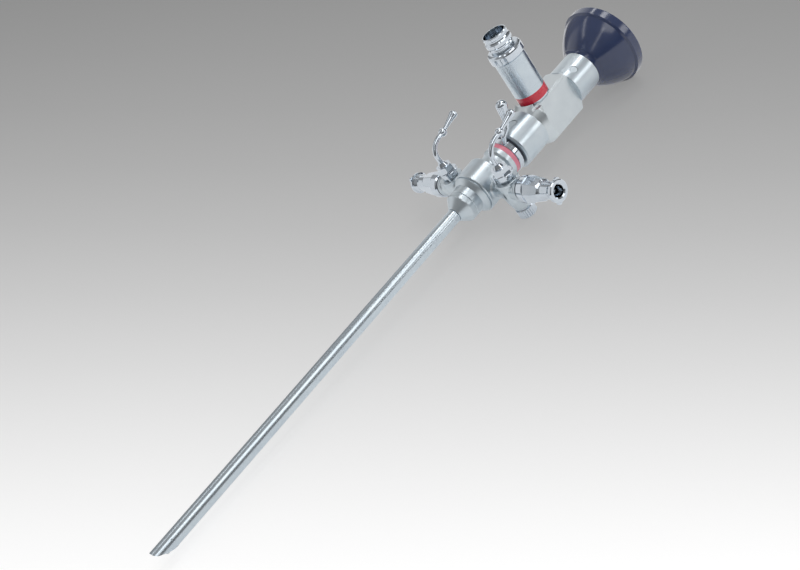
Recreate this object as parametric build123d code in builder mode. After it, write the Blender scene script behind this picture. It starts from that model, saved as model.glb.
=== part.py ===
from build123d import *
import math
import os

# Rigid 30 degree telescope of 4 mm in its irrigation sheath with two stopcocks.
# Millimetres. X runs along the optical axis towards the eye, Z is up along the
# light post, and the origin is on the axis where the sheath tube leaves the hub.

# Cutters reach this far past the solid that they cut
CUT_MARGIN = 1.0

# Sheath tube and telescope tube
TIP_X = -149.4
SHEATH_R = 2.55
SHEATH_BORE_R = 2.25
SCOPE_R = 2.0
SCOPE_BORE_R = 1.8
SCOPE_TIP_X = TIP_X + 1.6
TUBE_SEAT_X = 8.0
TUBE_SEAT_R = 2.38
CONE_X0 = 0.15
BEAK_LENGTH = 7.5

# Sheath hub, ring and lock, as stations along the axis
CONE_END_X = 3.6
SEAM_X = 5.6
FLARE_X = 8.8
RING_X0 = 10.9
RING_X1 = 20.2
COLLAR_X0 = 21.2
FLANGE_X0 = 25.6
RED_X0 = 27.6
RED_X1 = 29.4
LOCK_X1 = 31.7
RETAINER_X1 = 32.2
BODY_X0 = 32.6
HUB_R = 5.9
RING_R = 8.2
SLEEVE_R = 5.6
CHAMBER_R = 3.6
COLLAR_R = 5.9
FLANGE_R = 6.6
SPIGOT_R = 5.3
LOCK_R = 6.85

# Telescope head
SHOULDER_X0 = 44.8
BLOCK_X0 = 47.6
BLOCK_X1 = 65.1
BARREL_X0 = 66.1
CUP_X0 = 77.2
RIM_X0 = 89.3
CUP_X1 = 93.0
BODY_R = 7.95
BLOCK_R = 9.5
BLOCK_FLAT_Y = 5.2
BARREL_R = 7.55
CUP_R = 16.0
HEAD_BORE_R = 4.3
FRONT_SEAT_R = 4.8
REAR_SEAT_R = 4.8
CUP_SEAT_R = 6.0
SCREW_R = 1.4
SCREW_GAP = 0.12

# Light post
POST_X = 53.3
POST_Z0 = 7.2
POST_RED_Z0 = 7.9
POST_RED_Z1 = 11.1
POST_SHOULDER_Z = 25.6
POST_NECK_Z = 29.7
POST_TOP_Z = 35.9
POST_R = 5.85
POST_BORE_R = 2.6
POST_CUP_R = 4.15

# Stopcocks: one on each side of the ring, mirrored about the XZ plane
COCK_X = 15.8
COCK_Z = -1.2
PLUG_Y = 15.3
LIP_Y = 38.7
BARREL_TOP_Z = 3.0
BARREL_FOOT_Z = -8.7
PLUG_TOP_R = 2.3
PLUG_FOOT_R = 1.9
RUNNING_GAP = 0.03
FLOW_R = 1.2
GASKET_Y0 = 21.3
GASKET_Y1 = 21.9
LEVER_ROD_R = 0.9
SIDES = {"left": -1, "right": 1}


def revolved(points, axis=Axis.X, plane=Plane.XY):
    """One turned solid from its half section, given as (axial, radial) points."""
    with BuildPart() as turned:
        with BuildSketch(plane):
            with BuildLine():
                Polyline(*points, close=True)
            make_face()
        revolve(axis=axis)
    return turned


def turned_ring(x0, x1, outer_r, inner_r, edge=0.15):
    """A plain ring about the optical axis with its outer corners broken."""
    return revolved([
        (x0, inner_r), (x0, outer_r - edge), (x0 + edge, outer_r),
        (x1 - edge, outer_r), (x1, outer_r - edge), (x1, inner_r),
    ])


def save(built, name):
    """Label one finished piece and write its file."""
    built.part.label = name
    export_step(built.part, f"parts/{name}.step")


os.makedirs("parts", exist_ok=True)

# Sheath tube: an oblique beak at the tip, and side holes for the return flow
SIDE_HOLE_R = 0.42
SIDE_HOLE_X = TIP_X + 7.1
SIDE_HOLE_LEANS = (60, 142, -60, -142)
with BuildPart() as sheath_tube:
    with BuildSketch(Plane.YZ.offset(TIP_X)):
        Circle(SHEATH_R)
    extrude(amount=-TIP_X)
    with BuildSketch(Plane.YZ):
        Circle(TUBE_SEAT_R)
    extrude(amount=TUBE_SEAT_X)
    with BuildSketch(Plane.YZ.offset(TIP_X)):
        Circle(SHEATH_BORE_R)
    extrude(amount=TUBE_SEAT_X - TIP_X, mode=Mode.SUBTRACT)
    # The cut leaves the wall longest at the top and rounds back over the beak
    nose = (TIP_X, SHEATH_R)
    knee = (TIP_X + 2.0, SHEATH_R - 2.0)
    heel = (TIP_X + BEAK_LENGTH, -SHEATH_R)
    with BuildSketch(Plane.XZ):
        with BuildLine():
            Polyline(
                heel, (TIP_X + BEAK_LENGTH, -SHEATH_R - CUT_MARGIN),
                (TIP_X - CUT_MARGIN, -SHEATH_R - CUT_MARGIN), (TIP_X - CUT_MARGIN, SHEATH_R + CUT_MARGIN), nose,
            )
            Spline(nose, knee, heel, tangents=[(0.25, -1), (1, -0.35)])
        make_face()
    extrude(amount=SHEATH_R + CUT_MARGIN, both=True, mode=Mode.SUBTRACT)
    for lean in SIDE_HOLE_LEANS:
        with BuildSketch(Plane(origin=(SIDE_HOLE_X, 0, 0), z_dir=Vector(0, 0, 1).rotate(Axis.X, lean))):
            Circle(SIDE_HOLE_R)
        extrude(amount=SHEATH_R + CUT_MARGIN, mode=Mode.SUBTRACT)
save(sheath_tube, "sheath_tube")

# Cone that covers the joint of tube and hub
cone_nut = revolved([
    (CONE_X0, TUBE_SEAT_R), (CONE_X0, SHEATH_R + 0.25), (CONE_END_X - 0.2, HUB_R - 0.1),
    (CONE_END_X + 0.1, HUB_R), (SEAM_X - 0.15, HUB_R), (SEAM_X, HUB_R - 0.15), (SEAM_X, TUBE_SEAT_R),
])
save(cone_nut, "cone_nut")

# Hub: short cylinder, flare up to the ring, and the sleeve that the ring sits on
hub = revolved([
    (SEAM_X, TUBE_SEAT_R), (SEAM_X, HUB_R - 0.2), (SEAM_X + 0.2, HUB_R), (FLARE_X, HUB_R),
    (RING_X0 - 0.9, RING_R - 0.9), (RING_X0 - 0.5, RING_R - 0.55), (RING_X0 - 0.35, RING_R - 0.8),
    (RING_X0, RING_R - 0.8), (RING_X0, SLEEVE_R), (COLLAR_X0 + 3.0, SLEEVE_R),
    (COLLAR_X0 + 3.0, CHAMBER_R), (TUBE_SEAT_X, CHAMBER_R), (TUBE_SEAT_X, TUBE_SEAT_R),
])
with BuildPart() as hub_sleeve:
    add(hub.part)
    with BuildSketch(Plane.XZ):
        with Locations((COCK_X, COCK_Z)):
            Circle(FLOW_R)
    extrude(amount=RING_R, both=True, mode=Mode.SUBTRACT)
save(hub_sleeve, "hub_sleeve")

# Ring that carries the two stopcocks, with a seat bored for each one
SEAT_R = 3.3
SEAT_Y = 6.6
ring_blank = revolved([
    (RING_X0, SLEEVE_R), (RING_X0, RING_R - 0.3), (RING_X0 + 0.3, RING_R), (RING_X1 - 0.3, RING_R),
    (RING_X1 + 0.1, RING_R - 0.25), (COLLAR_X0, RING_R - 1.9), (COLLAR_X0, SLEEVE_R),
])
with BuildPart() as stopcock_ring:
    add(ring_blank.part)
    with BuildSketch(Plane.XZ):
        with Locations((COCK_X, COCK_Z)):
            Circle(FLOW_R)
    extrude(amount=RING_R, both=True, mode=Mode.SUBTRACT)
    for side in SIDES.values():
        with BuildSketch(Plane.XZ.offset(-side * SEAT_Y)):
            with Locations((COCK_X, COCK_Z)):
                Circle(SEAT_R)
        extrude(amount=-side * 3, mode=Mode.SUBTRACT)
save(stopcock_ring, "stopcock_ring")

# Lock collar: neck, flange and the spigot that the red ring and lock ring ride on
lock_collar = revolved([
    (COLLAR_X0, SLEEVE_R), (COLLAR_X0, COLLAR_R), (FLANGE_X0 - 0.6, COLLAR_R),
    (FLANGE_X0, FLANGE_R - 0.1), (FLANGE_X0 + 0.2, FLANGE_R), (RED_X0, FLANGE_R),
    (RED_X0, SPIGOT_R), (RETAINER_X1, SPIGOT_R), (RETAINER_X1, 4.3), (RED_X0, 4.0),
    (COLLAR_X0 + 3.0, 4.0), (COLLAR_X0 + 3.0, SLEEVE_R),
])
save(lock_collar, "lock_collar")

save(turned_ring(RED_X0, RED_X1, FLANGE_R, SPIGOT_R, 0.08), "sheath_red_ring")
save(turned_ring(LOCK_X1, RETAINER_X1, 6.0, SPIGOT_R, 0.08), "lock_retainer")

# Lock ring and its finger lever, one piece, turning on the collar's spigot
LOCK_LEVER = [
    (Vector(30.6, -3.3, 5.9), 0.95), (Vector(31.3, -3.9, 8.1), 0.95), (Vector(34.0, -4.0, 9.6), 1.05),
    (Vector(35.8, -4.0, 11.9), 1.35), (Vector(37.3, -4.0, 16.8), 2.1),
]
LOCK_SIDE_GAP = 0.06
LOCK_BORE_GAP = 0.04
lock_blank = turned_ring(
    RED_X1 + LOCK_SIDE_GAP, LOCK_X1 - LOCK_SIDE_GAP, LOCK_R, SPIGOT_R + LOCK_BORE_GAP, 0.2
)
with BuildPart() as lock_ring:
    add(lock_blank.part)
    for lower, upper in zip(LOCK_LEVER, LOCK_LEVER[1:]):
        rising = (upper[0] - lower[0]).normalized()
        for place, radius in (lower, upper):
            with BuildSketch(Plane(origin=place, z_dir=rising)):
                Circle(radius)
        loft()
        with Locations(upper[0]):
            Sphere(upper[1])
save(lock_ring, "lock_ring")

# Black seal between the sheath's socket and the telescope head
save(turned_ring(RETAINER_X1, BODY_X0, 6.3, 4.4, 0.08), "seal_ring")

# Telescope tube and what it holds. The front face leans as its line of sight does.
VIEW_ANGLE = 30
SCOPE_TUBE_X1 = 36.0
SCOPE_NOSE_CUT = 3.0
lean_cut_x = 2 * SCOPE_R * math.tan(math.radians(VIEW_ANGLE))


def lean_cutter(front_x):
    """Block that cuts the front of a piece off at the angle of view."""
    with BuildPart() as cutter:
        with BuildSketch(Plane.XZ):
            with BuildLine():
                Polyline(
                    (front_x - SCOPE_NOSE_CUT, -SCOPE_R - CUT_MARGIN),
                    (front_x + lean_cut_x, -SCOPE_R - CUT_MARGIN), (front_x + lean_cut_x, -SCOPE_R),
                    (front_x, SCOPE_R), (front_x, SCOPE_R + CUT_MARGIN),
                    (front_x - SCOPE_NOSE_CUT, SCOPE_R + CUT_MARGIN), close=True,
                )
            make_face()
        extrude(amount=SCOPE_R + CUT_MARGIN, both=True)
    return cutter


with BuildPart() as telescope_tube:
    with BuildSketch(Plane.YZ.offset(SCOPE_TIP_X)):
        Circle(SCOPE_R)
        Circle(SCOPE_BORE_R, mode=Mode.SUBTRACT)
    extrude(amount=SCOPE_TUBE_X1 - SCOPE_TIP_X)
    add(lean_cutter(SCOPE_TIP_X).part, mode=Mode.SUBTRACT)
save(telescope_tube, "telescope_tube")

INNER_R = 1.4
INNER_BORE_R = 1.25
PRISM_LENGTH = 3.4
PRISM_RECESS = 0.1
INNER_X0 = SCOPE_TIP_X + PRISM_LENGTH
INNER_X1 = 72.0
inner_tube = revolved([
    (INNER_X0, INNER_BORE_R), (INNER_X0, INNER_R), (INNER_X1, INNER_R), (INNER_X1, INNER_BORE_R),
])
save(inner_tube, "lens_tube")

# Prism behind the front face, cut to the same lean
with BuildPart() as front_prism:
    with BuildSketch(Plane.YZ.offset(SCOPE_TIP_X)):
        Circle(INNER_R)
    extrude(amount=PRISM_LENGTH)
    add(lean_cutter(SCOPE_TIP_X + PRISM_RECESS).part, mode=Mode.SUBTRACT)
save(front_prism, "front_prism")

# Rod lenses: long glass rods with short air gaps, all in the lens tube
ROD_LENGTH = 24.0
ROD_GAP = 2.6
ROD_COUNT = 8
ROD_X0 = INNER_X0 + 0.8
with BuildPart() as rod_lenses:
    for index in range(ROD_COUNT):
        with BuildSketch(Plane.YZ.offset(ROD_X0 + index * (ROD_LENGTH + ROD_GAP))):
            Circle(INNER_BORE_R)
        extrude(amount=ROD_LENGTH)
save(rod_lenses, "rod_lenses")

# Light fibres fill the ring between the two tubes and climb into the post
FIBRE_R = 2.2
FIBRE_X0 = SCOPE_TIP_X + 2.4
FIBRE_TOP_Z = 30.0
with BuildPart() as light_fibres:
    with BuildSketch(Plane.YZ.offset(FIBRE_X0)):
        Circle(SCOPE_BORE_R)
    extrude(amount=POST_X - FIBRE_X0)
    with BuildSketch():
        with Locations((POST_X, 0)):
            Circle(FIBRE_R)
    extrude(amount=FIBRE_TOP_Z)
    with BuildSketch(Plane.YZ.offset(FIBRE_X0)):
        Circle(INNER_R)
    extrude(amount=POST_X + FIBRE_R + CUT_MARGIN - FIBRE_X0, mode=Mode.SUBTRACT)
save(light_fibres, "light_fibres")

# Front body of the head, with the taper that locks into the sheath's socket
front_blank = revolved([
    (28.0, SCOPE_R), (28.0, 3.8), (BODY_X0, 4.2), (BODY_X0, BODY_R - 0.6), (BODY_X0 + 0.6, BODY_R),
    (SHOULDER_X0 - 0.1, BODY_R), (SHOULDER_X0, BODY_R - 0.1), (SHOULDER_X0, FRONT_SEAT_R),
    (SHOULDER_X0 + 4.0, FRONT_SEAT_R), (SHOULDER_X0 + 4.0, 3.4), (38.0, 3.4), (38.0, SCOPE_R),
])

# Flush screws: place along the axis, radius of the surface, lean from upright
SCREW_SITES = [(38.8, BODY_R, 10.9), (70.2, BARREL_R, 43.0)]
SCREW_SEAT = 1.6
SCREW_LENGTH = 1.45


def screw_plane(site, depth):
    """Plane at a depth under the surface, normal to it, at one screw's place."""
    along, radius, lean = site
    outward = Vector(0, 0, 1).rotate(Axis.X, lean)
    return Plane(origin=Vector(along, 0, 0) + outward * (radius - depth), z_dir=outward)


def drilled(blank, site):
    """The blank with one screw's seat drilled in its outside."""
    with BuildPart() as piece:
        add(blank.part)
        with BuildSketch(screw_plane(site, SCREW_SEAT)):
            Circle(SCREW_R + SCREW_GAP)
        extrude(amount=SCREW_SEAT + CUT_MARGIN, mode=Mode.SUBTRACT)
    return piece


save(drilled(front_blank, SCREW_SITES[0]), "body_front")

# Main block: coned shoulders, a milled flat on each side, and one on top for the post
MILL_R = 10.0
FLAT_BEVEL = 0.6
FLAT_X0 = 47.0
SPOT_FACE_R = 7.0
SEAT_DEPTH = 4.0
POST_SPIGOT_R = 4.2
with BuildPart() as body_block:
    with BuildSketch():
        with BuildLine():
            Polyline(
                (SHOULDER_X0, FRONT_SEAT_R), (SHOULDER_X0, BODY_R - 0.25), (BLOCK_X0, BLOCK_R - 0.1),
                (BLOCK_X0 + 0.3, BLOCK_R), (BLOCK_X1 - 0.2, BLOCK_R), (BLOCK_X1, BLOCK_R - 0.1),
                (BARREL_X0, BARREL_R + 0.2), (BARREL_X0, REAR_SEAT_R), (BARREL_X0 - SEAT_DEPTH, REAR_SEAT_R),
                (BARREL_X0 - SEAT_DEPTH, HEAD_BORE_R), (SHOULDER_X0 + SEAT_DEPTH, HEAD_BORE_R),
                (SHOULDER_X0 + SEAT_DEPTH, FRONT_SEAT_R), close=True,
            )
        make_face()
    revolve(axis=Axis.X)
    for side in SIDES.values():
        with BuildSketch(Plane.XZ.offset(-side * BLOCK_FLAT_Y)):
            with Locations((FLAT_X0 + MILL_R, 0)):
                Circle(MILL_R)
                Rectangle(BARREL_X0 - FLAT_X0, 2 * MILL_R, align=(Align.MIN, Align.CENTER))
        extrude(amount=-side * BLOCK_R, mode=Mode.SUBTRACT)
    with BuildSketch(Plane.XY.offset(POST_Z0)):
        with Locations((POST_X, 0)):
            Circle(SPOT_FACE_R)
            Rectangle(BARREL_X0 - POST_X, 2 * BLOCK_R, align=(Align.MIN, Align.CENTER))
    extrude(amount=BLOCK_R, mode=Mode.SUBTRACT)
    # A bevel breaks the edge between the top flat and each side flat
    for side in SIDES.values():
        with BuildSketch(Plane.YZ.offset(SHOULDER_X0)):
            with BuildLine():
                Polyline(
                    (side * BLOCK_FLAT_Y, POST_Z0 - FLAT_BEVEL), (side * (BLOCK_FLAT_Y - FLAT_BEVEL), POST_Z0),
                    (side * (BLOCK_FLAT_Y - FLAT_BEVEL), BLOCK_R), (side * BLOCK_R, BLOCK_R),
                    (side * BLOCK_R, POST_Z0 - FLAT_BEVEL), close=True,
                )
            make_face()
        extrude(amount=BARREL_X0 - SHOULDER_X0, mode=Mode.SUBTRACT)
    with BuildSketch(Plane.XY):
        with Locations((POST_X, 0)):
            Circle(POST_SPIGOT_R)
    extrude(amount=BLOCK_R, mode=Mode.SUBTRACT)
save(body_block, "body_block")

# Light post: column with a base flange, and a groove that the red ring fills
POST_FOOT_Z = 4.0
POST_GROOVE_R = 5.3
POST_NECK_R = 4.6
POST_COLLAR_R = 6.45
POST_CUP_FLOOR_Z = 31.3
post_axis = Axis((POST_X, 0, 0), (0, 0, 1))


def post_turned(points):
    """Turned about the post's axis: points are (height, radius)."""
    return revolved([(POST_X + radius, height) for height, radius in points], post_axis, Plane.XZ)


save(post_turned([
    (POST_FOOT_Z, POST_BORE_R), (POST_FOOT_Z, POST_SPIGOT_R), (POST_Z0, POST_SPIGOT_R),
    (POST_Z0, POST_R - 0.1), (POST_Z0 + 0.15, POST_R), (POST_RED_Z0, POST_R),
    (POST_RED_Z0, POST_GROOVE_R), (POST_RED_Z1, POST_GROOVE_R), (POST_RED_Z1, POST_R),
    (POST_SHOULDER_Z - 0.1, POST_R), (POST_SHOULDER_Z, POST_R - 0.1),
    (POST_SHOULDER_Z, POST_NECK_R), (POST_NECK_Z, POST_NECK_R), (POST_NECK_Z, POST_BORE_R),
]), "light_post")

save(post_turned([
    (POST_RED_Z0, POST_GROOVE_R), (POST_RED_Z0, POST_R + 0.02), (POST_RED_Z1, POST_R + 0.02),
    (POST_RED_Z1, POST_GROOVE_R),
]), "post_red_ring")

# The collar and the end piece screw off the post to suit other light guides
save(post_turned([
    (POST_SHOULDER_Z, POST_NECK_R), (POST_SHOULDER_Z, POST_COLLAR_R - 0.5),
    (POST_SHOULDER_Z + 0.6, POST_COLLAR_R), (POST_NECK_Z - 1.2, POST_COLLAR_R),
    (POST_NECK_Z - 0.75, POST_COLLAR_R - 0.1), (POST_NECK_Z - 0.35, POST_COLLAR_R - 0.35),
    (POST_NECK_Z - 0.1, POST_COLLAR_R - 0.75), (POST_NECK_Z, POST_COLLAR_R - 1.15),
    (POST_NECK_Z, POST_NECK_R),
]), "post_collar")

save(post_turned([
    (POST_NECK_Z, POST_BORE_R), (POST_NECK_Z, 4.3), (30.3, 4.3), (30.55, 4.55), (30.9, 4.55),
    (31.15, 4.3), (31.5, 4.3), (31.7, 4.7), (32.1, 4.95), (33.3, 4.95), (33.8, 4.6), (34.2, 4.45),
    (34.6, 4.45), (34.8, 4.6), (POST_TOP_Z - 0.2, 4.6), (POST_TOP_Z, 4.4),
    (POST_TOP_Z, POST_CUP_R + 0.05), (POST_TOP_Z - 0.1, POST_CUP_R), (POST_CUP_FLOOR_Z, POST_CUP_R),
    (POST_CUP_FLOOR_Z, POST_BORE_R),
]), "post_end")

# Polished end of the fibres, under a window in the floor of the cup
WINDOW_Z0 = 30.1
with BuildPart() as fibre_window:
    with BuildSketch(Plane.XY.offset(WINDOW_Z0)):
        with Locations((POST_X, 0)):
            Circle(POST_BORE_R)
    extrude(amount=POST_CUP_FLOOR_Z - WINDOW_Z0 - 0.1)
save(fibre_window, "fibre_window")

# Barrel of the eyepiece, with the spigot that the cup is screwed on
EYE_BORE_R = 4.4
EYE_BORE_X0 = CUP_X0 - 3.0
CUP_SEAT_X1 = CUP_X0 + 4.0
barrel_blank = revolved([
    (BARREL_X0 - SEAT_DEPTH, 3.9), (BARREL_X0 - SEAT_DEPTH, REAR_SEAT_R), (BARREL_X0, REAR_SEAT_R),
    (BARREL_X0, BARREL_R - 0.1), (BARREL_X0 + 0.1, BARREL_R), (CUP_X0 - 0.1, BARREL_R),
    (CUP_X0, BARREL_R - 0.1), (CUP_X0, CUP_SEAT_R), (CUP_SEAT_X1, CUP_SEAT_R),
    (CUP_SEAT_X1, EYE_BORE_R), (EYE_BORE_X0, EYE_BORE_R), (EYE_BORE_X0, 3.9),
])
save(drilled(barrel_blank, SCREW_SITES[1]), "eyepiece_barrel")

with BuildPart() as set_screws:
    for site in SCREW_SITES:
        with BuildSketch(screw_plane(site, SCREW_SEAT)):
            Circle(SCREW_R)
        extrude(amount=SCREW_LENGTH)
save(set_screws, "set_screws")

# Domed lens of the eyepiece, held in the barrel's rear bore, and its cover glass
DOME_R = 8.8
DOME_ANGLE = 30
LENS_X1 = CUP_X0 + 1.4
with BuildPart() as ocular_lens:
    with BuildSketch():
        with BuildLine():
            dome = CenterArc((LENS_X1 - DOME_R, 0), DOME_R, 0, DOME_ANGLE)
            Polyline(dome @ 1, (EYE_BORE_X0, (dome @ 1).Y), (EYE_BORE_X0, 0), dome @ 0)
        make_face()
    revolve(axis=Axis.X)
save(ocular_lens, "ocular_lens")

with BuildPart() as cover_glass:
    with BuildSketch(Plane.YZ.offset(CUP_SEAT_X1 - 1.0)):
        Circle(EYE_BORE_R)
    extrude(amount=1.0)
save(cover_glass, "cover_glass")

# Eyepiece cup: bell outside, dished inside down to the cover glass
with BuildPart() as eyepiece_cup:
    with BuildSketch():
        with BuildLine():
            Polyline((CUP_SEAT_X1, CUP_SEAT_R), (CUP_X0, CUP_SEAT_R), (CUP_X0, BARREL_R + 0.1))
            ThreePointArc((CUP_X0, BARREL_R + 0.1), (CUP_X0 + 0.9, 8.1), (CUP_X0 + 1.6, 8.9))
            ThreePointArc((CUP_X0 + 1.6, 8.9), (CUP_X0 + 6.4, 12.75), (RIM_X0 - 0.5, 15.2))
            Polyline(
                (RIM_X0 - 0.5, 15.2), (RIM_X0, CUP_R - 0.15), (RIM_X0 + 0.2, CUP_R),
                (CUP_X1 - 0.7, CUP_R),
            )
            ThreePointArc((CUP_X1 - 0.7, CUP_R), (CUP_X1 - 0.2, CUP_R - 0.2), (CUP_X1, CUP_R - 0.7))
            Line((CUP_X1, CUP_R - 0.7), (CUP_X1, 13.8))
            ThreePointArc((CUP_X1, 13.8), (CUP_X0 + 10.2, 10.6), (CUP_SEAT_X1 + 0.8, EYE_BORE_R))
            Polyline(
                (CUP_SEAT_X1 + 0.8, EYE_BORE_R), (CUP_SEAT_X1, EYE_BORE_R), (CUP_SEAT_X1, CUP_SEAT_R),
            )
        make_face()
    revolve(axis=Axis.X)
save(eyepiece_cup, "eyepiece_cup")

# Stopcocks, one on each side. A stopcock is drawn about its plug's axis.
CAP_FLANGE_R = 3.9
DRUM_R = 2.9
DRUM_Z1 = 4.8
CAP_FLANGE_Z1 = 5.7
HEX_Z1 = 8.2
CAP_TOP_Z = 9.5
STOP_PIN_R = 0.4
STOP_PIN_RADIUS = 3.65
NUT_R = 3.4
NUT_Z0 = -12.6
NUT_Z1 = -9.1
KNURL_COUNT = 24
QUARTER_TURN = 90
NOTCH_ANGLE = QUARTER_TURN + 28
# The lever's bends, as (along, up) from the top of its cap, and its handle's radii
LEVER_LEAN = 3
LEVER_RISE = 1.9
LEVER_SPARE = 0.2
LEVER_KNEE = (3.9, 6.95)
LEVER_BALL = (7.7, 7.4)
LEVER_END = (16.3, 9.3)
LEVER_BALL_R = 1.6
HANDLE_STATIONS = [(1.0, 0.8), (2.4, 0.78), (6.2, 1.2), (7.7, 1.55), (8.4, 1.5), (8.8, 1.1)]
CORNER_R0 = 4.85
CORNER_R1 = 3.95
HEX_FLATS = 5.3


def cock_revolved(points, side):
    """Turned about the stopcock's flow axis: points are (distance from XZ, radius)."""
    flow_axis = Axis((COCK_X, 0, COCK_Z), (0, 1, 0))
    with BuildPart() as turned:
        with BuildSketch(Plane.XY.offset(COCK_Z)):
            with BuildLine():
                Polyline(*[(COCK_X + radius, side * out) for out, radius in points], close=True)
            make_face()
        revolve(axis=flow_axis)
    return turned


def plug_revolved(points, side):
    """Turned about the plug's axis: points are (height, radius)."""
    plug_axis = Axis((COCK_X, side * PLUG_Y, 0), (0, 0, 1))
    with BuildPart() as turned:
        with BuildSketch(Plane.XZ.offset(-side * PLUG_Y)):
            with BuildLine():
                Polyline(*[(COCK_X + radius, height) for height, radius in points], close=True)
            make_face()
        revolve(axis=plug_axis)
    return turned


def plug_radius(height):
    """Radius of the tapered plug at one height."""
    share = (BARREL_TOP_Z - height) / (BARREL_TOP_Z - BARREL_FOOT_Z)
    return PLUG_TOP_R + (PLUG_FOOT_R - PLUG_TOP_R) * share


def make_body(side):
    """Cross of the plug's barrel and the flow tube, bored for both."""
    tube = cock_revolved([
        (SEAT_Y, 0), (SEAT_Y, SEAT_R), (9.6, SEAT_R), (10.4, 3.7), (19.6, 3.9), (19.9, 4.15),
        (20.3, 4.15), (20.45, 3.9), (20.6, 4.2), (GASKET_Y0, 4.2), (GASKET_Y0, 0),
    ], side)
    barrel_blank = plug_revolved([
        (BARREL_FOOT_Z, 0), (BARREL_FOOT_Z, 3.1), (BARREL_FOOT_Z + 0.5, 3.3), (-4.8, 4.1),
        (1.6, 4.3), (1.9, 4.45), (BARREL_TOP_Z - 0.15, 4.45), (BARREL_TOP_Z, 4.3), (BARREL_TOP_Z, 0),
    ], side)
    bore = plug_revolved([
        (BARREL_FOOT_Z - 1, 0), (BARREL_FOOT_Z - 1, plug_radius(BARREL_FOOT_Z - 1) + RUNNING_GAP),
        (BARREL_TOP_Z + 1, plug_radius(BARREL_TOP_Z + 1) + RUNNING_GAP), (BARREL_TOP_Z + 1, 0),
    ], side)
    with BuildPart() as body:
        add(tube.part)
        add(barrel_blank.part)
        with BuildSketch(Plane.XZ.offset(-side * (SEAT_Y - 1))):
            with Locations((COCK_X, COCK_Z)):
                Circle(FLOW_R)
        extrude(amount=-side * (GASKET_Y0 - SEAT_Y + 2), mode=Mode.SUBTRACT)
        add(bore.part, mode=Mode.SUBTRACT)
        # Seat of the stop pin, on the side away from the lever's travel
        with BuildSketch(Plane.XY.offset(BARREL_TOP_Z - 1.0)):
            with Locations(stop_pin_place(side)):
                Circle(STOP_PIN_R)
        extrude(amount=1.5, mode=Mode.SUBTRACT)
    return body


def stop_pin_place(side):
    """The pin stands where the notch ends when the lever lies along the axis."""
    reach = STOP_PIN_RADIUS * math.cos(math.radians(QUARTER_TURN / 2))
    return (COCK_X - reach, side * (PLUG_Y - reach))


def make_stop_pin(side):
    """Small pin in the barrel's rim that ends the lever's quarter turn."""
    with BuildPart() as pin:
        with BuildSketch(Plane.XY.offset(BARREL_TOP_Z - 1.0)):
            with Locations(stop_pin_place(side)):
                Circle(STOP_PIN_R)
        extrude(amount=CAP_FLANGE_Z1 - BARREL_TOP_Z + 1.0)
    return pin


def make_plug(side):
    """Tapered plug with its cross hole, and the stud that the nut turns on."""
    blank = plug_revolved([
        (NUT_Z0 + 0.5, 0), (NUT_Z0 + 0.5, 1.2), (BARREL_FOOT_Z + 0.3, 1.2),
        (BARREL_FOOT_Z + 0.3, plug_radius(BARREL_FOOT_Z + 0.3)), (BARREL_TOP_Z + 0.2, plug_radius(BARREL_TOP_Z)),
        (BARREL_TOP_Z + 0.2, 0),
    ], side)
    with BuildPart() as plug:
        add(blank.part)
        with BuildSketch(Plane.YZ.offset(COCK_X - 4)):
            with Locations((side * PLUG_Y, COCK_Z)):
                Circle(FLOW_R)
        extrude(amount=8, mode=Mode.SUBTRACT)
    return plug


def make_cap(side):
    """Drum, notched flange and hexagon on top of the plug."""
    blank = plug_revolved([
        (BARREL_TOP_Z + 0.2, 0), (BARREL_TOP_Z + 0.2, DRUM_R), (DRUM_Z1, DRUM_R),
        (DRUM_Z1, CAP_FLANGE_R - 0.1), (DRUM_Z1 + 0.1, CAP_FLANGE_R), (CAP_FLANGE_Z1 - 0.15, CAP_FLANGE_R),
        (CAP_FLANGE_Z1, CAP_FLANGE_R - 0.15), (CAP_FLANGE_Z1, 2.2), (HEX_Z1 + 0.2, 1.8),
        (CAP_TOP_Z, 1.3), (CAP_TOP_Z, 0),
    ], side)
    centre = (COCK_X, side * PLUG_Y)
    notch_start = 180 - NOTCH_ANGLE / 2
    with BuildPart() as cap:
        add(blank.part)
        with BuildSketch(Plane.XY.offset(CAP_FLANGE_Z1)):
            with Locations((COCK_X, side * PLUG_Y)):
                RegularPolygon(HEX_FLATS / 2, 6, major_radius=False)
        extrude(amount=HEX_Z1 - CAP_FLANGE_Z1)
        with BuildSketch(Plane.XY.offset(DRUM_Z1 - 0.1)):
            with BuildLine():
                near = CenterArc(centre, STOP_PIN_RADIUS - STOP_PIN_R - 0.25, notch_start, NOTCH_ANGLE)
                far = CenterArc(centre, CAP_FLANGE_R + CUT_MARGIN, notch_start, NOTCH_ANGLE)
                Line(near @ 0, far @ 0)
                Line(near @ 1, far @ 1)
            make_face()
        extrude(amount=CAP_FLANGE_Z1 - DRUM_Z1 + 0.3, mode=Mode.SUBTRACT)
    return cap


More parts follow.
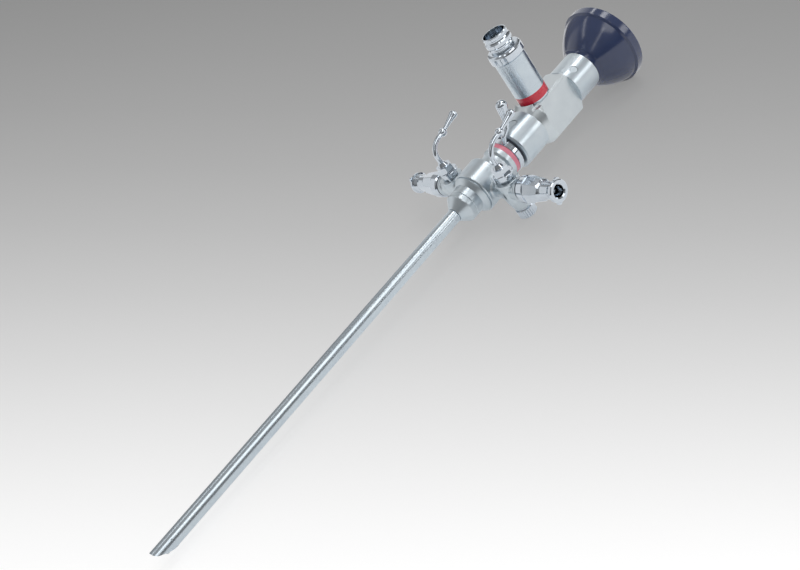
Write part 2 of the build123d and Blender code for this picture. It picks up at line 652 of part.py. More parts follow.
def make_lever(side):
    """Bent rod with a ball and a handle that widens to its end, leaning out a little."""
    y = side * PLUG_Y
    plane = Plane.XZ.offset(-y)
    knee = (COCK_X + LEVER_KNEE[0], CAP_TOP_Z + LEVER_KNEE[1])
    ball_place = (COCK_X + LEVER_BALL[0], CAP_TOP_Z + LEVER_BALL[1])
    ball = Vector(*ball_place)
    foot = (COCK_X, y, CAP_TOP_Z)
    end = Vector(COCK_X + LEVER_END[0], CAP_TOP_Z + LEVER_END[1])
    with BuildPart() as upright:
        with BuildLine(plane) as path:
            up = Line((COCK_X, CAP_TOP_Z - LEVER_SPARE), (COCK_X, CAP_TOP_Z + LEVER_RISE))
            bend = TangentArc(up @ 1, knee, tangent=up % 1)
            TangentArc(bend @ 1, ball_place, tangent=bend % 1)
        with BuildSketch(Plane(origin=path.line @ 0, z_dir=(0, 0, 1))):
            Circle(LEVER_ROD_R)
        sweep(path=path.wires()[0])
        with Locations((ball.X, y, ball.Y)):
            Sphere(LEVER_BALL_R)
        with BuildSketch(plane):
            with BuildLine():
                along = (end - ball).normalized()
                across = Vector(-along.Y, along.X)
                rim = [ball + along * station + across * radius for station, radius in HANDLE_STATIONS]
                Polyline(
                    ball + along * HANDLE_STATIONS[0][0], *rim, ball + along * HANDLE_STATIONS[-1][0],
                    close=True,
                )
            make_face()
        handle_start = plane.from_local_coords(ball)
        handle_end = plane.from_local_coords(end)
        revolve(axis=Axis(handle_start, handle_end - handle_start))
    with BuildPart() as lever:
        add(upright.part.rotate(Axis(foot, (1, 0, 0)), -side * LEVER_LEAN))
        with BuildSketch(Plane(origin=foot, z_dir=(0, 0, -1))):
            Circle(2 * LEVER_ROD_R)
        extrude(amount=2 * LEVER_SPARE, mode=Mode.SUBTRACT)
    return lever


def make_washer(side):
    """Spring washer between the barrel's foot and the nut."""
    return plug_revolved([
        (NUT_Z1, 1.25), (NUT_Z1, 2.9), (BARREL_FOOT_Z - 0.06, 2.9), (BARREL_FOOT_Z - 0.06, 1.25),
    ], side)


def make_nut(side):
    """Knurled nut: fine straight grooves round its rim, a bevel at each end."""
    blank = plug_revolved([
        (NUT_Z0, 0), (NUT_Z0, NUT_R - 0.4), (NUT_Z0 + 0.4, NUT_R), (NUT_Z1 - 0.25, NUT_R),
        (NUT_Z1, NUT_R - 0.3), (NUT_Z1, 1.2), (NUT_Z0 + 0.5, 1.2), (NUT_Z0 + 0.5, 0),
    ], side)
    with BuildPart() as nut:
        add(blank.part)
        with BuildSketch(Plane.XY.offset(NUT_Z0 - 0.1)):
            with Locations((COCK_X, side * PLUG_Y)):
                with PolarLocations(NUT_R + 0.1, KNURL_COUNT):
                    Rectangle(0.4, 0.4, rotation=45)
        extrude(amount=NUT_Z1 - NUT_Z0 + 0.2, mode=Mode.SUBTRACT)
    return nut


def make_gasket(side):
    """Flat gasket between the tube and the hose connector."""
    return cock_revolved([(GASKET_Y0, FLOW_R), (GASKET_Y0, 3.9), (GASKET_Y1, 3.9), (GASKET_Y1, FLOW_R)], side)


def make_connector(side):
    """Hose connector: round collar, eight flats for a spanner, neck and lip."""
    blank = cock_revolved([
        (GASKET_Y1, 0), (GASKET_Y1, 4.2), (GASKET_Y1 + 0.5, 4.7), (25.0, CORNER_R0), (31.0, CORNER_R1),
        (31.9, 3.2), (32.4, 3.1), (35.6, 2.95), (37.2, 3.4), (37.5, 3.9), (LIP_Y - 0.3, 3.9),
        (LIP_Y, 3.6), (LIP_Y, 0),
    ], side)
    bore = cock_revolved([
        (GASKET_Y1 - 1, 0), (GASKET_Y1 - 1, FLOW_R), (29.9, FLOW_R), (30.3, 1.91), (LIP_Y - 0.35, 2.15),
        (LIP_Y, 2.6), (LIP_Y + 0.1, 2.6), (LIP_Y + 0.1, 0),
    ], side)
    flats_plane = Plane(origin=(COCK_X, side * 25.2, COCK_Z), z_dir=(0, side, 0), x_dir=(1, 0, 0))
    end_plane = Plane(origin=(COCK_X, side * 32.2, COCK_Z), z_dir=(0, side, 0), x_dir=(1, 0, 0))
    with BuildPart(mode=Mode.PRIVATE) as cutter:
        with BuildSketch(flats_plane):
            Circle(8)
        extrude(amount=7.0)
        with BuildSketch(flats_plane):
            RegularPolygon(CORNER_R0, 8, rotation=27.5)
        with BuildSketch(end_plane):
            RegularPolygon(CORNER_R1 - 0.14, 8, rotation=27.5)
        loft(mode=Mode.SUBTRACT)
    with BuildPart() as connector:
        add(blank.part)
        add(cutter.part, mode=Mode.SUBTRACT)
        add(bore.part, mode=Mode.SUBTRACT)
        # Two ears on the lip take the twist of a hose fitting
        ear_plane = Plane(origin=(COCK_X, side * 37.5, COCK_Z), z_dir=(0, side, 0), x_dir=(1, 0, 0))
        with BuildSketch(ear_plane):
            SlotOverall(9.2, 2.0, rotation=60)
            Circle(3.0, mode=Mode.SUBTRACT)
        extrude(amount=0.9)
    return connector


for side_name, side in SIDES.items():
    save(make_body(side), f"{side_name}_cock_body")
    save(make_stop_pin(side), f"{side_name}_stop_pin")
    save(make_plug(side), f"{side_name}_plug")
    save(make_cap(side), f"{side_name}_plug_cap")
    save(make_lever(side), f"{side_name}_lever")
    save(make_washer(side), f"{side_name}_spring_washer")
    save(make_nut(side), f"{side_name}_plug_nut")
    save(make_gasket(side), f"{side_name}_gasket")
    save(make_connector(side), f"{side_name}_connector")
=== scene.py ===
"""Looks of a rigid endoscope in its irrigation sheath, on a pale studio floor."""

import logging
import math
from dataclasses import dataclass
from enum import Enum
from typing import Any, Callable

import bmesh
import bpy
from mathutils import Matrix, Vector


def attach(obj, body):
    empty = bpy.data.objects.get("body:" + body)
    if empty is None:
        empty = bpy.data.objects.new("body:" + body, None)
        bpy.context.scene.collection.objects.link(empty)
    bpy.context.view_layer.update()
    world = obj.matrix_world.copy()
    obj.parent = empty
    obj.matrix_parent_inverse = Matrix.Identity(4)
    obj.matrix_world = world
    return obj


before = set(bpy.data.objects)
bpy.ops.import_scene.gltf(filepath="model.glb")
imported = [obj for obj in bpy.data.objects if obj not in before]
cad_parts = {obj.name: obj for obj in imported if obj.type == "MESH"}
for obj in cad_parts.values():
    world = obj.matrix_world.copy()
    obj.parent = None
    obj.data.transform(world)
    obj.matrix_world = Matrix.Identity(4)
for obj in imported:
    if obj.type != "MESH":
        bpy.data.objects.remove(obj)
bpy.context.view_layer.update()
LOG = logging.getLogger("endoscope")
SIDES = {"left": -1.0, "right": 1.0}
MADE: dict[str, bpy.types.Material] = {}
NOISE_ROUGHNESS = 0.6

Color = tuple[float, float, float]
Cover = tuple[float, float, float, float]
Socket = bpy.types.NodeSocket


class Lay(Enum):
    """Axis that the fine marks of a steel piece run round, or none on a blasted one."""

    ALONG_X = "x"
    ALONG_Y = "y"
    ALONG_Z = "z"
    BLASTED = "none"


class Blend(Enum):
    """Way from one value to the next."""

    EVEN = "LINEAR"
    SMOOTH = "SMOOTHSTEP"


def solid(color: Color) -> Cover:
    """A colour with full cover."""
    return (*color, 1.0)


def grey(tone: float) -> Cover:
    """A grey of one tone with full cover."""
    return (tone, tone, tone, 1.0)


class Nodes:
    """Short way to fill a node tree."""

    def __init__(self, tree: bpy.types.NodeTree) -> None:
        """Keeps the tree that is filled."""
        self.tree = tree

    def add(self, kind: str, **values: Any) -> bpy.types.Node:
        """Adds one node and sets its properties.

        Args:
            kind: Node type without its ShaderNode prefix.
            **values: Properties of the node to set.

        Returns:
            The new node.
        """
        node = self.tree.nodes.new("ShaderNode" + kind)
        for key, value in values.items():
            setattr(node, key, value)
        return node

    def feed(self, node: bpy.types.Node, **values: Any) -> bpy.types.Node:
        """Feeds input sockets by name, with underscores for spaces.

        Args:
            node: The node whose inputs are fed.
            **values: A value, or the output that is linked to the input.

        Returns:
            The same node.
        """
        for key, value in values.items():
            end = node.inputs[key.replace("_", " ")]
            if isinstance(value, Socket):
                self.tree.links.new(value, end)
            else:
                end.default_value = value
        return node

    def combine(self, kind: str, first: Socket, second: Socket | float = 0.0) -> Socket:
        """Works out one step of arithmetic.

        Args:
            kind: Operation of the Math node.
            first: The first value's output.
            second: The second value, or its output.

        Returns:
            The result's output.
        """
        node = self.add("Math", operation=kind)
        self.tree.links.new(first, node.inputs[0])
        if isinstance(second, float):
            node.inputs[1].default_value = second
        else:
            self.tree.links.new(second, node.inputs[1])
        return node.outputs["Value"]

    def noise(self, scale: tuple[float, ...], detail: float) -> Socket:
        """Noise in object space with its own scale on each axis.

        Args:
            scale: Cells a metre along X, Y and Z.
            detail: Octaves of the noise.

        Returns:
            The noise's output.
        """
        place = self.add("TexCoord")
        mapping = self.feed(self.add("Mapping"), Vector=place.outputs["Object"], Scale=scale)
        noise = self.feed(self.add("TexNoise"), Vector=mapping.outputs["Vector"], Scale=1.0,
                          Detail=detail, Roughness=NOISE_ROUGHNESS)
        return noise.outputs["Fac"]

    def ranged(self, source: Socket, low: float, high: float, start: float = 0.3, stop: float = 0.7,
               blend: Blend = Blend.EVEN) -> Socket:
        """Maps a factor to a range.

        Args:
            source: The factor.
            low: Value at the start of the factor's range.
            high: Value at its end.
            start: Factor that gives low.
            stop: Factor that gives high.
            blend: Way from low to high.

        Returns:
            The mapped output.
        """
        node = self.feed(self.add("MapRange", interpolation_type=blend.value), Value=source,
                         From_Min=start, From_Max=stop, To_Min=low, To_Max=high)
        return node.outputs["Result"]

    def mixed(self, factor: Socket, first: Cover | Socket, second: Cover | Socket) -> Socket:
        """Mixes two colours.

        Args:
            factor: Share of the second colour.
            first: Colour at zero, or its output.
            second: Colour at one, or its output.

        Returns:
            The mixed colour's output.
        """
        node = self.feed(self.add("Mix", data_type="RGBA"), Factor=factor, A=first, B=second)
        return node.outputs["Result"]

    def greys(self, factor: Socket, tones: list[tuple[float, float]]) -> Socket:
        """Greys that follow a factor.

        Args:
            factor: The factor.
            tones: Factors in rising order, each with its grey tone.

        Returns:
            The grey's output.
        """
        node = self.feed(self.add("ValToRGB"), Fac=factor)
        stops = node.color_ramp.elements
        stops.remove(stops[1])
        for index, (share, tone) in enumerate(tones):
            stop = stops[0] if index == 0 else stops.new(share)
            stop.position = share
            stop.color = grey(tone)
        return node.outputs["Color"]

    def bump(self, height: Socket, strength: float, depth: float) -> Socket:
        """Bump from a height.

        Args:
            height: The height.
            strength: Share of the bump that shows.
            depth: Height of the bump in metres.

        Returns:
            The normal's output.
        """
        node = self.feed(self.add("Bump"), Height=height, Strength=strength, Distance=depth)
        return node.outputs["Normal"]


class Look(Nodes):
    """Nodes of a new material."""

    def __init__(self, name: str) -> None:
        """Starts an empty material and keeps it by its name.

        Args:
            name: Name of the finish.
        """
        self.material = bpy.data.materials.new(f"{name}_look")
        MADE[name] = self.material
        self.material.use_nodes = True
        super().__init__(self.material.node_tree)
        self.tree.nodes.clear()

    def surface(self, **values: Any) -> None:
        """Shows a surface whose shader is fed these values and outputs."""
        shader = self.feed(self.add("BsdfPrincipled"), **values)
        self.feed(self.add("OutputMaterial"), Surface=shader.outputs["BSDF"])


@dataclass(frozen=True)
class SteelFinish:
    """Stainless steel: its gloss, and the fine marks that the tool left."""

    name: str
    color: Color
    shade: Color
    roughness: float
    spread: float
    marks_a_metre: float
    mark_depth: float
    flat_rise: float = 0.0
    flat_turn: tuple[float, float] = (0.990, 0.999)
    across_a_metre: float = 20.0
    clouds_a_metre: float = 180.0
    mark_strength: float = 0.35

    def material(self, lay: Lay) -> bpy.types.Material:
        """Node material for pieces turned about one axis.

        Args:
            lay: Axis that the marks run round, or BLASTED for a grainy matte face.

        Returns:
            The material, made once for each axis.
        """
        name = f"{self.name}_{lay.name.lower()}"
        if name in MADE:
            return MADE[name]
        look = Look(name)
        fine, coarse = self.marks_a_metre, self.across_a_metre
        scale = tuple(fine if lay.value in (axis, "none") else coarse for axis in "xyz")
        marks = look.noise(scale, detail=3.0)
        clouds = look.noise((self.clouds_a_metre,) * 3, detail=2.0)
        marked = look.ranged(marks, self.roughness - self.spread, self.roughness + self.spread)
        rough = look.combine("ADD", marked, look.ranged(clouds, 0.0, self.spread))
        look.surface(
            Metallic=1.0,
            Base_Color=look.mixed(look.ranged(clouds, 0.0, 1.0), solid(self.color), solid(self.shade)),
            Roughness=self.rougher_flats(look, rough),
            Normal=look.bump(marks, self.mark_strength, self.mark_depth),
        )
        return look.material

    def rougher_flats(self, look: Look, rough: Socket) -> Socket:
        """Makes the flats that face sideways duller than the turned faces.

        Args:
            look: The material's nodes.
            rough: Roughness of the turned faces.

        Returns:
            The roughness output of both.
        """
        if self.flat_rise == 0.0:
            return rough
        place = look.add("TexCoord")
        parts = look.feed(look.add("SeparateXYZ"), Vector=place.outputs["Normal"])
        sideways = look.combine("ABSOLUTE", parts.outputs["Y"])
        return look.combine("ADD", look.ranged(sideways, 0.0, self.flat_rise, *self.flat_turn), rough)


@dataclass(frozen=True)
class SmoothFinish:
    """Plastic, enamel or rubber: one colour with fine grain and faint handling marks."""

    name: str
    color: Color
    worn: Color
    roughness: float
    grain_depth: float
    coat: float = 0.0
    gloss: float = 0.5
    coat_roughness: float = 0.15
    glossier: float = 0.03
    duller: float = 0.04
    grains_a_metre: float = 9000.0
    clouds_a_metre: float = 120.0
    grain_strength: float = 0.3

    def material(self) -> bpy.types.Material:
        """Node material of the finish.

        Returns:
            The material, made once.
        """
        if self.name in MADE:
            return MADE[self.name]
        look = Look(self.name)
        grain = look.noise((self.grains_a_metre,) * 3, detail=2.0)
        clouds = look.noise((self.clouds_a_metre,) * 3, detail=4.0)
        look.surface(
            Base_Color=look.mixed(look.ranged(clouds, 0.0, 1.0), solid(self.color), solid(self.worn)),
            Roughness=look.ranged(clouds, self.roughness - self.glossier, self.roughness + self.duller),
            Specular_IOR_Level=self.gloss,
            Coat_Weight=self.coat,
            Coat_Roughness=self.coat_roughness,
            Normal=look.bump(grain, self.grain_strength, self.grain_depth),
        )
        return look.material


@dataclass(frozen=True)
class GlassFinish:
    """Clear optical glass with a faint tint and a few specks of dust."""

    name: str
    tint: Color
    dust: Color = (0.8, 0.82, 0.82)
    refraction: float = 1.52
    clean_roughness: float = 0.02
    dust_roughness: float = 0.3
    specks_a_metre: float = 2500.0
    rough_turn: tuple[float, float] = (0.62, 0.85)
    pale_turn: tuple[float, float] = (0.5, 0.9)

    def material(self) -> bpy.types.Material:
        """Node material of the glass.

        Returns:
            The material, made once.
        """
        if self.name in MADE:
            return MADE[self.name]
        look = Look(self.name)
        specks = look.noise((self.specks_a_metre,) * 3, detail=3.0)
        pale = look.ranged(specks, 0.0, 1.0, *self.pale_turn)
        look.surface(
            Base_Color=look.mixed(pale, solid(self.tint), solid(self.dust)),
            Roughness=look.ranged(specks, self.clean_roughness, self.dust_roughness, *self.rough_turn),
            IOR=self.refraction,
            Transmission_Weight=1.0,
        )
        return look.material


SATIN = SteelFinish("satin_steel", color=(0.62, 0.68, 0.72), shade=(0.56, 0.63, 0.68),
                    roughness=0.32, spread=0.03, marks_a_metre=9000.0, mark_depth=2e-7)
POLISHED = SteelFinish("polished_steel", color=(0.66, 0.71, 0.77), shade=(0.60, 0.66, 0.72),
                       roughness=0.09, spread=0.02, marks_a_metre=6000.0, mark_depth=3e-7)
BRIGHT_TUBE = SteelFinish("drawn_tube_steel", color=(0.62, 0.69, 0.74), shade=(0.57, 0.64, 0.70),
                          roughness=0.25, spread=0.02, marks_a_metre=5000.0, mark_depth=1.2e-7)
MILLED = SteelFinish("milled_steel", color=(0.68, 0.73, 0.755), shade=(0.64, 0.69, 0.72),
                     roughness=0.33, spread=0.03, marks_a_metre=12000.0, mark_depth=3e-7, flat_rise=0.10)
POST_RED = SmoothFinish("post_ring_enamel", color=(0.80, 0.03, 0.065), worn=(0.72, 0.025, 0.055),
                        roughness=0.28, grain_depth=1e-6, coat=0.5)
SHEATH_RED = SmoothFinish("sheath_ring_enamel", color=(0.95, 0.28, 0.38), worn=(0.88, 0.25, 0.34),
                          roughness=0.34, grain_depth=1e-6, coat=0.3)
CUP_BLACK = SmoothFinish("cup_plastic", color=(0.025, 0.042, 0.115), worn=(0.030, 0.049, 0.128),
                         roughness=0.16, grain_depth=1e-6, coat=0.4, gloss=0.6)
SEAL_BLACK = SmoothFinish("seal_rubber", color=(0.085, 0.090, 0.115), worn=(0.10, 0.105, 0.13),
                          roughness=0.42, grain_depth=4e-6)
FIBRES = SmoothFinish("fibre_end", color=(0.30, 0.32, 0.34), worn=(0.36, 0.37, 0.37),
                      roughness=0.2, grain_depth=2e-6, coat=0.5)
LENS = GlassFinish("lens_glass", tint=(0.93, 0.97, 0.96))


def dress(material: bpy.types.Material, *nodes: str) -> None:
    """Gives every slot of some CAD nodes one material.

    Args:
        material: The material they show.
        *nodes: Names of the CAD nodes.
    """
    for node in nodes:
        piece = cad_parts[node]
        if not piece.material_slots:
            piece.data.materials.append(material)
        for slot in piece.material_slots:
            slot.material = material


@dataclass
class Sheath:
    """Sheath tube, hub, ring, collar and lock."""

    satin_nodes: tuple[str, ...] = ("cone_nut", "hub_sleeve", "stopcock_ring", "lock_collar")
    polished_nodes: tuple[str, ...] = ("lock_ring", "lock_retainer")

    def dress(self) -> None:
        """Gives the sheath's pieces their finishes."""
        dress(BRIGHT_TUBE.material(Lay.ALONG_X), "sheath_tube")
        dress(SATIN.material(Lay.ALONG_X), *self.satin_nodes)
        dress(POLISHED.material(Lay.ALONG_X), *self.polished_nodes)
        dress(SHEATH_RED.material(), "sheath_red_ring")
        dress(SEAL_BLACK.material(), "seal_ring")
        LOG.info("sheath dressed")


@dataclass
class SolderBead:
    """Fine fillet of solder where a stopcock's flow tube meets another round piece."""

    name: str
    tube_x: float
    tube_z: float
    tube_r: float
    reach: Callable[[float, float], float]
    width: float
    grows: float
    sink: float = 0.012
    turns: int = 72
    steps: int = 5

    def point(self, angle: float, share: float) -> tuple[float, float, float]:
        """Point of the fillet's concave face, whose two edges sink into the steel.

        Args:
            angle: Angle round the flow tube.
            share: Zero on the other piece, one on the tube.

        Returns:
            The point in metres.
        """
        radius = self.tube_r + self.width * (1.0 - share) ** 2
        lift = self.width * share ** 2
        sunk = self.tube_r * self.sink
        x = radius * math.cos(angle)
        z = self.tube_z + radius * math.sin(angle)
        foot = self.reach(x, z) - self.grows * (sunk if share == 0.0 else 0.0)
        inward = 1.0 - (self.sink if share == 1.0 else 0.0)
        return self.tube_x + x * inward, foot + self.grows * lift, self.tube_z + (z - self.tube_z) * inward

    def build(self) -> None:
        """Builds the bead as a ring of quads."""
        shape = bmesh.new()
        rows = []
        for turn in range(self.turns):
            angle = 2.0 * math.pi * turn / self.turns
            points = [self.point(angle, step / self.steps) for step in range(self.steps + 1)]
            rows.append([shape.verts.new(point) for point in points])
        for first, second in zip(rows, rows[1:] + rows[:1]):
            for step in range(self.steps):
                face = shape.faces.new((first[step], second[step], second[step + 1], first[step + 1]))
                face.smooth = True
        bmesh.ops.recalc_face_normals(shape, faces=shape.faces)
        mesh = bpy.data.meshes.new(self.name)
        shape.to_mesh(mesh)
        shape.free()
        mesh.materials.append(SATIN.material(Lay.BLASTED))
        bead = bpy.data.objects.new(self.name, mesh)
        bpy.context.scene.collection.objects.link(bead)
        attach(bead, "instrument")


@dataclass
class Stopcock:
    """One stopcock: body, plug, cap, lever, nut, gasket and hose connector."""

    side_name: str
    flow_x: float = 0.0158
    flow_z: float = -0.0012
    seat_r: float = 0.0033
    waist_r: float = 0.00375
    ring_r: float = 0.0082
    barrel_r: float = 0.0042
    plug_y: float = 0.0153
    ring_bead: float = 0.0008
    barrel_bead: float = 0.0007
    satin_pieces: tuple[str, ...] = ("cock_body", "plug")
    polished_pieces: tuple[str, ...] = ("plug_cap", "lever", "plug_nut", "stop_pin", "spring_washer")

    def ring_face(self, _x: float, z: float) -> float:
        """Y of the stopcock ring's round face at a height."""
        return SIDES[self.side_name] * math.sqrt(self.ring_r ** 2 - z ** 2)

    def barrel_face(self, x: float, _z: float) -> float:
        """Y of the barrel's face toward the ring, at a place along the axis."""
        bulge = math.sqrt(max(0.0, self.barrel_r ** 2 - x ** 2))
        return SIDES[self.side_name] * (self.plug_y - bulge)

    def build(self) -> None:
        """Builds the solder beads at both ends of the flow tube."""
        side = SIDES[self.side_name]
        beads = (
            ("ring", self.seat_r, self.ring_face, self.ring_bead, side),
            ("barrel", self.waist_r, self.barrel_face, self.barrel_bead, -side),
        )
        for part, tube_r, face, width, grows in beads:
            name = f"{self.side_name}_{part}_bead"
            SolderBead(name, self.flow_x, self.flow_z, tube_r, face, width, grows).build()

    def dress(self) -> None:
        """Gives the stopcock's pieces their finishes."""
        side = self.side_name
        dress(SATIN.material(Lay.ALONG_Z), *(f"{side}_{piece}" for piece in self.satin_pieces))
        dress(POLISHED.material(Lay.ALONG_Z), *(f"{side}_{piece}" for piece in self.polished_pieces))
        dress(POLISHED.material(Lay.ALONG_Y), f"{side}_connector")
        dress(SEAL_BLACK.material(), f"{side}_gasket")
        LOG.info("%s stopcock dressed", side)


@dataclass
class TelescopeHead:
    """Head of the telescope: front cylinder, milled block, barrel and its screws."""

    satin_nodes: tuple[str, ...] = ("body_front", "eyepiece_barrel", "set_screws")

    def dress(self) -> None:
        """Gives the head's pieces their finishes."""
        dress(SATIN.material(Lay.ALONG_X), *self.satin_nodes)
        dress(MILLED.material(Lay.ALONG_X), "body_block")
        LOG.info("head dressed")


@dataclass
class Optics:
    """Telescope tube with its lenses and light fibres."""

    tube_nodes: tuple[str, ...] = ("telescope_tube", "lens_tube")
    glass_nodes: tuple[str, ...] = ("front_prism", "rod_lenses", "ocular_lens", "cover_glass", "fibre_window")

    def dress(self) -> None:
        """Gives the optics their finishes."""
        dress(SATIN.material(Lay.ALONG_X), *self.tube_nodes)
        dress(LENS.material(), *self.glass_nodes)
        dress(FIBRES.material(), "light_fibres")
        LOG.info("optics dressed")


@dataclass
class LightPost:
    """Upright post for the light guide."""

    polished_nodes: tuple[str, ...] = ("post_collar", "post_end")

    def dress(self) -> None:
        """Gives the post's pieces their finishes."""
        dress(BRIGHT_TUBE.material(Lay.ALONG_Z), "light_post")
        dress(POLISHED.material(Lay.ALONG_Z), *self.polished_nodes)
        dress(POST_RED.material(), "post_red_ring")
        LOG.info("light post dressed")


@dataclass
class Eyepiece:
    """Black flared cup."""

    def dress(self) -> None:
        """Gives the cup its finish."""
        dress(CUP_BLACK.material(), "eyepiece_cup")
        LOG.info("eyepiece dressed")


@dataclass(frozen=True)
class SoftBox:
    """One soft box: where it is seen from the instrument, and how large and bright it is."""

    name: str
    aim: tuple[float, float, float]
    toward: tuple[float, float, float]
    long_way: tuple[float, float, float]
    size: tuple[float, float]
    brightness: float
    away: float = 1.0

    def build(self) -> None:
        """Hangs the soft box so that it faces the point that it is aimed at."""
        data = bpy.data.lights.new(self.name, "AREA")
        data.shape = "RECTANGLE"
        data.size, data.size_y = self.size
        data.energy = self.brightness * math.pi * self.size[0] * self.size[1]
        lamp = bpy.data.objects.new(self.name, data)
        toward = Vector(self.toward).normalized()
        lamp.location = Vector(self.aim) + toward * self.away
        long_way = Vector(self.long_way)
        side = (long_way - toward * long_way.dot(toward)).normalized()
        turn = Matrix((side, toward.cross(side), toward)).transposed()
        lamp.rotation_euler = turn.to_euler()
        bpy.context.scene.collection.objects.link(lamp)


SOFT_BOXES = (
    SoftBox("tube_softbox", aim=(-0.08, 0.0, 0.0), toward=(0.22, -0.62, 0.75),
            long_way=(1.0, 0.3, 0.0), size=(0.62, 0.56), brightness=1.45),
    SoftBox("rim_back_strip", aim=(0.091, -0.005, 0.015), toward=(0.66, 0.33, 0.68),
            long_way=(1.0, 0.0, 0.0), size=(0.30, 0.08), brightness=4.5),
    SoftBox("rim_front_strip", aim=(0.091, -0.009, 0.013), toward=(0.58, -0.12, 0.80),
            long_way=(1.0, 0.0, 0.0), size=(0.70, 0.20), brightness=4.2),
    SoftBox("cup_back_strip", aim=(0.083, -0.004, 0.011), toward=(-0.20, 0.34, 0.92),
            long_way=(-0.65, -0.24, -0.03), size=(0.62, 0.10), brightness=1.8),
    SoftBox("cup_front_strip", aim=(0.083, -0.009, 0.009), toward=(-0.50, -0.48, 0.72),
            long_way=(-0.66, 0.20, -0.36), size=(0.80, 0.09), brightness=1.5),
    SoftBox("side_softbox", aim=(0.05, 0.0, 0.0), toward=(0.54, -0.81, 0.23),
            long_way=(1.0, 0.65, 0.0), size=(0.45, 0.26), brightness=2.6),
)


@dataclass
class Camera:
    """Camera that the photograph's view was solved for."""

    eye: tuple[float, float, float] = (-0.1690, -0.3262, 0.1866)
    right: tuple[float, float, float] = (0.6162, -0.5718, -0.5417)
    up: tuple[float, float, float] = (0.7095, 0.1042, 0.6970)
    lens_mm: float = 54.0
    sensor_mm: float = 36.0
    nearest: float = 0.005
    farthest: float = 50.0

    def build(self) -> None:
        """Places the camera and looks through it."""
        data = bpy.data.cameras.new("studio_camera")
        data.lens = self.lens_mm
        data.sensor_width = self.sensor_mm
        data.sensor_fit = "HORIZONTAL"
        data.clip_start = self.nearest
        data.clip_end = self.farthest
        camera = bpy.data.objects.new("studio_camera", data)
        right = Vector(self.right).normalized()
        back = right.cross(Vector(self.up).normalized()).normalized()
        turn = Matrix((right, back.cross(right), back)).transposed()
        camera.matrix_world = Matrix.Translation(Vector(self.eye)) @ turn.to_4x4()
        bpy.context.scene.collection.objects.link(camera)
        bpy.context.scene.camera = camera


@dataclass
class Floor:
    """Pale paper under the two nuts and the cup's rim, shown to the camera with painted shade in a fan from
    dark to pale.
    """

    rest_x: float = 0.0128
    rest_z: float = -0.0126
    rest_slope: float = -0.0443
    half: float = 4.0
    # The fan of painted shade: its centre, its angles, its steps and its dark and pale end tones.
    fan_x: float = 0.058
    fan_y: float = -0.536
    fan_degrees: tuple[float, float] = (81.4, 116.6)
    fan_steps: int = 10
    painted_dark_tone: float = 0.225
    painted_pale_tone: float = 0.84
    even_share: float = 0.4
    late_power: float = 1.6
    paper_tone: float = 0.9
    roughness: float = 0.9
    gloss: float = 0.1
    glow: float = 1.0
    lit_share: float = 0.5
    sheen: float = 0.28

    def tone(self, share: float) -> float:
        """Tone of the painted shade in the fan, which rises evenly at first and faster past the middle.

        Args:
            share: Zero at the fan's dark edge, one at its pale edge.

        Returns:
            The grey tone.
        """
        late = share ** self.late_power
        rise = self.even_share * share + (1.0 - self.even_share) * late * late * (3.0 - 2.0 * late)
        return self.painted_dark_tone + (self.painted_pale_tone - self.painted_dark_tone) * rise

    def paper(self) -> bpy.types.Material:
        """Paper that shows the camera a painted fan of shade from dark to pale, and plain pale paper to
        mirrors and glass.

        Returns:
            The material.
        """
        look = Look("floor_paper_painted_falloff")
        place = look.add("TexCoord")
        # Painted shade: greys in a radial fan from dark to pale, which camera rays see as colour and glow.
        centre = look.feed(look.add("Mapping"), Vector=place.outputs["Object"],
                           Location=(-self.fan_x, -self.fan_y, 0.0))
        fan = look.feed(look.add("TexGradient", gradient_type="RADIAL"), Vector=centre.outputs["Vector"])
        start, stop = (0.5 + angle / 360.0 for angle in self.fan_degrees)
        shares = [step / self.fan_steps for step in range(self.fan_steps + 1)]
        tones = look.greys(look.ranged(fan.outputs["Fac"], 0.0, 1.0, start, stop),
                           [(share, self.tone(share)) for share in shares])
        rays = look.add("LightPath")
        camera_ray = rays.outputs["Is Camera Ray"]
        color = look.mixed(camera_ray, grey(self.paper_tone), tones)
        lit = look.feed(look.add("VectorMath", operation="SCALE"), Vector=color,
                        Scale=look.ranged(camera_ray, 1.0, self.lit_share, 0.0, 1.0))
        clear = look.combine("MAXIMUM", rays.outputs["Is Glossy Ray"], rays.outputs["Is Transmission Ray"])
        shown = look.combine("MAXIMUM", clear, camera_ray)
        strength = look.ranged(camera_ray, self.sheen, self.glow, 0.0, 1.0)
        look.surface(
            Base_Color=lit.outputs["Vector"],
            Roughness=self.roughness,
            Specular_IOR_Level=self.gloss,
            Emission_Color=color,
            Emission_Strength=look.combine("MULTIPLY", strength, shown),
        )
        return look.material

    def build(self) -> None:
        """Lays the floor through the places where the instrument touches it."""
        mesh = bpy.data.meshes.new("floor")
        corners = [(sx * self.half, sy * self.half) for sx, sy in ((-1, -1), (1, -1), (1, 1), (-1, 1))]
        points = [(x, y, self.rest_z + self.rest_slope * (x - self.rest_x)) for x, y in corners]
        mesh.from_pydata(points, [], [(0, 1, 2, 3)])
        mesh.materials.append(self.paper())
        floor = bpy.data.objects.new("floor", mesh)
        bpy.context.scene.collection.objects.link(floor)


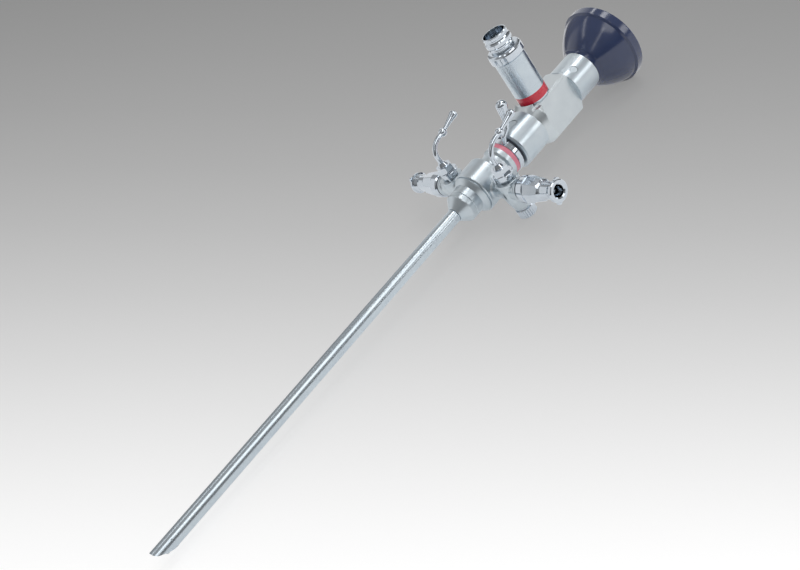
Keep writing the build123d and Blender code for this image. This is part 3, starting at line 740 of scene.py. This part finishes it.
@dataclass
class Room:
    """Grey room with a pale backdrop on one side, which has a dark gap in it."""

    heights: tuple[tuple[float, float], ...] = ((0.0, 0.10), (0.25, 0.16), (0.50, 0.30), (1.0, 0.34))
    backdrop_tone: float = 0.82
    backdrop_side: tuple[float, float] = (0.35, 0.7)
    backdrop_top: tuple[float, float] = (0.72, 0.95)
    gap_x: float = 0.15
    gap_edge: tuple[float, float] = (0.17, 0.27)
    gap_share: float = 0.1

    def build(self) -> None:
        """Sets the light that comes from the room's walls and ceiling."""
        world = bpy.data.worlds.new("studio")
        bpy.context.scene.world = world
        world.use_nodes = True
        nodes = Nodes(world.node_tree)
        place = nodes.add("TexCoord")
        parts = nodes.feed(nodes.add("SeparateXYZ"), Vector=place.outputs["Generated"])
        walls = nodes.greys(parts.outputs["Z"], list(self.heights))
        facing = nodes.ranged(parts.outputs["Y"], 0.0, 1.0, *self.backdrop_side, Blend.SMOOTH)
        below = nodes.ranged(parts.outputs["Z"], 1.0, 0.0, *self.backdrop_top, Blend.SMOOTH)
        aside = nodes.combine("ABSOLUTE", nodes.combine("SUBTRACT", parts.outputs["X"], self.gap_x))
        beside = nodes.ranged(aside, self.gap_share, 1.0, *self.gap_edge, Blend.SMOOTH)
        share = nodes.combine("MULTIPLY", nodes.combine("MULTIPLY", facing, below), beside)
        background = world.node_tree.nodes["Background"]
        nodes.feed(background, Color=nodes.mixed(share, walls, grey(self.backdrop_tone)))


@dataclass
class Studio:
    """Camera, floor, soft lights and room."""

    camera: Camera
    floor: Floor
    room: Room
    soft_boxes: tuple[SoftBox, ...] = SOFT_BOXES

    def build(self) -> None:
        """Builds the camera, the floor, the lights and the room."""
        self.camera.build()
        self.floor.build()
        for box in self.soft_boxes:
            box.build()
        self.room.build()
        bpy.context.scene.view_settings.view_transform = "Standard"
        LOG.info("studio built")


def main() -> None:
    """Builds and dresses the instrument piece by piece, then the studio."""
    logging.basicConfig(level=logging.INFO, format="%(name)s: %(message)s")
    Sheath().dress()
    for side_name in SIDES:
        stopcock = Stopcock(side_name)
        stopcock.build()
        stopcock.dress()
    TelescopeHead().dress()
    Optics().dress()
    LightPost().dress()
    Eyepiece().dress()
    Studio(Camera(), Floor(), Room()).build()


if __name__ == "__main__":
    main()
